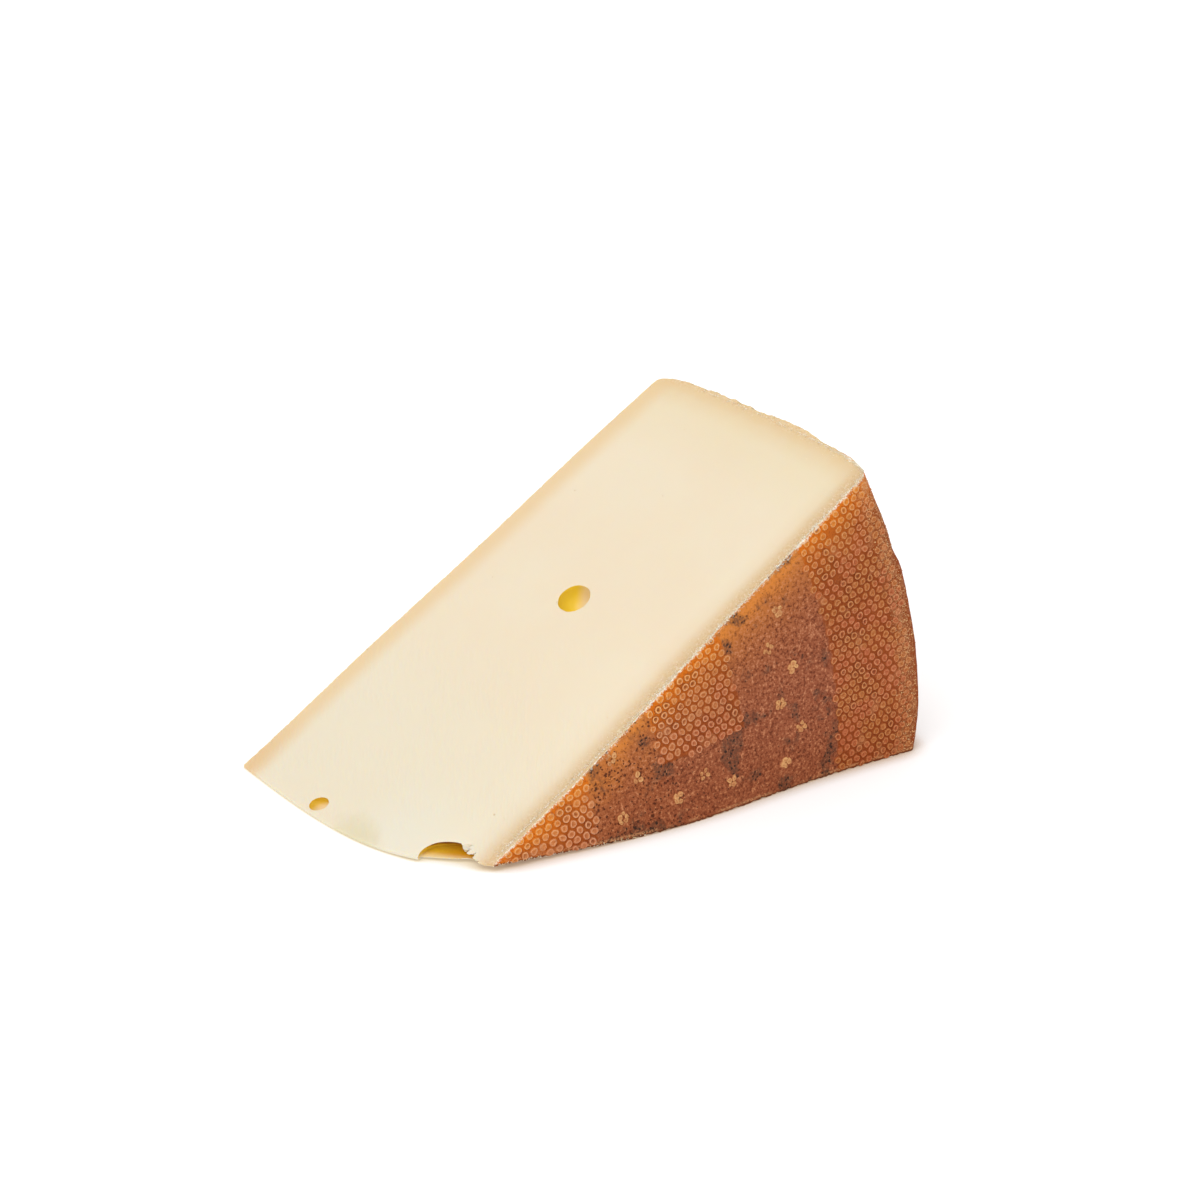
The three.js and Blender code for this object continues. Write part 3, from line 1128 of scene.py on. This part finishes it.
def rindFinish():
    finish = Finish("cheese_rind")
    place = finish.place()
    x = finish.parts(place)[0]
    signs = rindSigns(finish, place)
    glow, speck, band = signs["glow"], signs["speck"], bandMask(finish, place)
    near, far = finish.gaps("rindGap")[:2]
    upperCut, lowerCut = finish.gaps("cutGap")[:2]
    # The rind's ground between the ring marks is darker: partly its own colour, partly painted shade in the
    # hollows between the marks
    groove = finish.mix(signs["worn"] * 0.5, rind["groove"], rind["worn"])
    groove = finish.mix(glow, groove, rind["grooveGlow"])
    groove = finish.mottle(groove, speck, rind["dimple"], rind["fill"], 0.5)
    patch = finish.step(finish.grain(place, 8, 2), 0.42, 0.56).larger(finish.step(x, 70, 98))
    smooth = finish.mix(glow ** 0.75 * (0.6 + patch * 0.35), rind["band"], rind["bandGlow"])
    coarse = finish.grain(place, 0.85, 4, 0.75)
    smooth = finish.mottle(smooth, coarse, rind["grainDark"], rind["grainPale"], 1.0 - glow * 0.65)
    stain = finish.step(finish.grain(place, 11, 4, 0.6), 0.53, 0.61)
    crowd = finish.fall(x, 58, 98) * finish.step(finish.grain(place, 6, 2), 0.34, 0.6)
    crooked = finish.warped(place, 0.7, 0.8)
    pores = finish.fall(finish.dots(crooked, 1.1) - crowd.larger(stain) * 0.2, 0.06, 0.16)
    smooth = finish.mix(stain * (0.25 + finish.step(speck, 0.6, 0.38) * 0.7), smooth, rind["stain"])
    smooth = finish.mix(pores * 0.85, smooth, finish.mix(stain, rind["pore"], rind["soot"]))
    colour = finish.mix(band, groove, smooth)
    rimWay = finish.radius(place) + finish.sway(9, place, 2.6, 4, 0.65)
    crust = finish.step(rimWay, rind["crustFrom"], rind["crustFrom"] + 2.5)
    crust = crust * finish.fall(rimWay, rind["crustTo"], rind["crustTo"] + 1.0)
    onHeel = finish.step(near, 1.2, 5.0) * finish.step(far, 1.2, 5.0)
    heelColour = finish.mix(finish.step(finish.grain(place, 6, 4, 0.6), 0.3, 0.7), rind["heel"], rind["rim"])
    rolled = finish.add("Mapping", {}, {"Vector": place, "Scale": (0.12, 1.0, 0.12)})
    streaks = finish.grain(rolled, 1.6, 4, 0.65)
    heelColour = finish.mottle(heelColour, streaks, rind["groove"], rind["worn"], 0.45)
    heelColour = finish.mottle(heelColour, speck, rind["groove"], rind["grainPale"], 0.4)
    spots = finish.step(finish.grain(place, 9, 3), 0.42, 0.6)
    heelPores = finish.fall(finish.dots(crooked, 2.6), 0.05, 0.12) * spots
    heelColour = finish.mix(heelPores * 0.8, heelColour, rind["pore"])
    colour = finish.mix(onHeel * (1 - glow * 0.6), colour, heelColour)
    crust = crust * (1 - onHeel) * finish.step(speck, 0.4, 0.62)
    colour = finish.mix(crust * 0.5, colour, rind["crust"])
    colour = shaded(finish, colour, signs)
    torn = signs["torn"].larger(finish.fall(upperCut - onHeel * 1.6 + speck * 1.8, 0.95, 1.2))
    torn = torn * (1 - band * (0.35 + finish.step(speck, 0.4, 0.55) * 0.55))
    # Painted shade: a dark line along the foot of the rind, where it meets the board
    footShade = finish.fall(lowerCut, 0.3, 0.7) * (1 - onHeel)
    edging = finish.step(lowerCut, 0.4, 0.8) * finish.fall(lowerCut, 1.0, 1.5) * (1 - onHeel)
    tornColour = finish.mix(finish.step(near, 8, 16), signs["tornColour"], cream["heelEdge"])
    colour = finish.mix(torn, colour, tornColour)
    colour = finish.mix(footShade * 0.75, colour, rind["footShade"])
    colour = finish.mix(edging * finish.step(speck, 0.4, 0.56) * spots * 0.7, colour, rind["crust"])
    height = speck * (0.6 + crust * 0.2) - pores * (0.25 + band * 0.5) + streaks * onHeel * 0.7
    return finish.finish(
        Base_Color=colour, Roughness=0.6 + finish.grain(place, 2.5, 2) * 0.2,
        Normal=finish.bump(height, 0.34), Specular_IOR_Level=0.08)


def ringFinish():
    finish = Finish("cheese_ring_marks")
    place = finish.place()
    signs = rindSigns(finish, place)
    glow, speck = signs["glow"], signs["speck"]
    crest, tone = finish.value("crest"), finish.value("tone")
    groove = finish.mix(glow, rind["groove"], rind["grooveGlow"])
    fill = finish.mix(signs["red"], rind["fill"], rind["fillRed"])
    fill = finish.mix(signs["warmth"], fill, rind["fillWarm"])
    fill = finish.mix(glow, fill, rind["fillGlow"])
    top = finish.mix(signs["warmth"], rind["crest"], rind["crestWarm"])
    top = finish.mix(glow, top, rind["crestGlow"])
    # Painted shade: the low skirt of each mark takes the darker ground colour, as the hollow between marks
    # is shaded
    colour = finish.mix(finish.step(crest, -0.6, 0.4), groove, fill)
    colour = finish.mix(finish.step(crest, 0.6, 0.96) * (0.5 + tone * 0.5), colour, top)
    # Painted shade: the dimple at the centre of some marks is painted dark
    dimple = finish.step(crest, 0.4, 0.0) * finish.step(tone, 0.5, 0.95)
    colour = finish.mix(dimple * 0.75, colour, rind["dimple"])
    faded = finish.step(finish.grain(place, 7, 3, 0.6), 0.5, 0.64)
    colour = finish.mix(faded * 0.5, colour, fill)
    colour = finish.mix(signs["worn"] * 0.5, colour, rind["worn"])
    colour = finish.mottle(colour, speck, rind["groove"], rind["crest"], 0.5)
    crust = finish.step(finish.radius(place), rind["crustFrom"], rind["crustTo"])
    crust = crust * finish.step(speck, 0.46, 0.6)
    colour = finish.mix(crust * finish.step(crest, -0.5, 0.6) * 0.8, colour, rind["crust"])
    colour = finish.mix(signs["torn"] * 0.8, shaded(finish, colour, signs), signs["tornColour"])
    return finish.finish(
        Base_Color=colour, Roughness=0.6, Normal=finish.bump(speck, 0.24), Specular_IOR_Level=0.1)


def buttonFinish():
    finish = Finish("cheese_buttons")
    place = finish.place()
    crest, tone = finish.value("crest"), finish.value("tone")
    speck = finish.grain(place, 0.5, 3, 0.7)
    colour = finish.mix(crest * (0.4 + tone * 0.6), rind["buttonEdge"], rind["button"])
    colour = finish.mottle(colour, speck, rind["buttonEdge"], rind["button"], 0.5)
    return finish.finish(
        Base_Color=colour, Roughness=0.6, Normal=finish.bump(speck, 0.14), Specular_IOR_Level=0.2)


def crumbFinish(name, dark, light):
    finish = Finish(name)
    place = finish.place()
    speck = finish.grain(place, 0.3, 2)
    colour = finish.mix(finish.value("tone") * 0.7 + speck * 0.3, dark, light)
    return finish.finish(
        Base_Color=colour, Roughness=0.45, Normal=finish.bump(speck, 0.05),
        Subsurface_Weight=0.3, Subsurface_Radius=(1.0, 0.7, 0.4), Subsurface_Scale=0.0006)


def dress(piece, slot, *materials):
    piece.data.materials.clear()
    for material in materials:
        piece.data.materials.append(material)
    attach(piece, "root")
    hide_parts("cheese_wedge")


ringMaterial = ringFinish()
dress(body, "cheese_paste", creamFinish(), rindFinish(), eyeFinish())
body.data.polygons.foreach_set("material_index", bodyKinds)
dress(nearRings, "cheese_rind", ringMaterial)
dress(farRings, "cheese_rind", ringMaterial)
dress(nearRosettes, "cheese_rind", buttonFinish())
dress(creamCrumbs, "cheese_paste", crumbFinish("cheese_crumbs", paint(218, 186, 138), paint(246, 238, 220)))
dress(rindCrumbs, "cheese_rind", crumbFinish("rind_crumbs", paint(178, 106, 54), paint(228, 180, 122)))
print("finishes made")

# Floor and light

stage = {
    "floorSize": 12.0,
    "wallHeight": 0.85,      # the floor turns up at its edge, so that low views end in white too
    "floorColour": 0.74,
    "floorGlow": 0.34,       # the floor is a lit table, so that shadows stay faint
    "contactShadowReach": 7.5,       # and a painted contact shadow darkens it within this distance of what stands on it
    "contactShadowColour": (0.66, 0.52, 0.4, 1.0),
    "noseContactShadowColour": (0.86, 0.76, 0.58, 1.0),
    "noseContactShadowFrom": -0.062,
    "noseContactShadowTo": -0.05,
    "skyStrength": 0.8,
    "sunStrength": 1.3,
    "sunAngle": 50.0,
    "sunFrom": (-0.55, -0.28, 0.8),
}


def makeStage():
    bm = bmesh.new()
    bmesh.ops.create_circle(bm, cap_ends=True, radius=stage["floorSize"] / 2, segments=96)
    wall = bmesh.ops.extrude_edge_only(bm, edges=[e for e in bm.edges if e.is_boundary])["geom"]
    top = [v for v in wall if isinstance(v, bmesh.types.BMVert)]
    bmesh.ops.translate(bm, verts=top, vec=(0, 0, stage["wallHeight"]))
    floor = objectFrom(bm, "floor")
    if floor.data.polygons[0].normal.z < 0:
        floor.data.flip_normals()
    floor.location.z = nodeLow.z - 0.0001
    finish = Finish("floor")
    shade, white = stage["floorColour"], (1, 1, 1, 1)
    # Painted contact shadow: where ambient occlusion finds something near, the floor's colour and glow turn
    # to the shadow colour, lighter and yellower under the nose
    opened = finish.add("AmbientOcclusion", {"samples": 8}, {"Distance": stage["contactShadowReach"] * mm}, "AO")
    along = finish.parts(finish.add("TexCoord", {}, {}, "Object"))[0]
    along = finish.step(along, stage["noseContactShadowFrom"], stage["noseContactShadowTo"])
    touch = finish.mix(along, stage["noseContactShadowColour"], stage["contactShadowColour"])
    light = finish.mix(finish.step(opened, 0.4, 0.94), touch, white)
    floor.data.materials.append(finish.finish(
        Base_Color=finish.mix(1.0, light, (shade, shade, shade, 1), "MULTIPLY"), Roughness=0.9,
        Specular_IOR_Level=0.1, Emission_Color=light, Emission_Strength=stage["floorGlow"]))

    world = bpy.data.worlds.new("studio")
    scene.world = world
    world.use_nodes = True
    background = world.node_tree.nodes["Background"]
    background.inputs["Color"].default_value = (1, 1, 1, 1)
    background.inputs["Strength"].default_value = stage["skyStrength"]

    lamp = linked("sun", bpy.data.lights.new("sun", "SUN"))
    lamp.data.energy = stage["sunStrength"]
    lamp.data.angle = math.radians(stage["sunAngle"])
    lamp.location = Vector(stage["sunFrom"])
    lamp.rotation_euler = (-lamp.location).to_track_quat("-Z", "Y").to_euler()


makeStage()
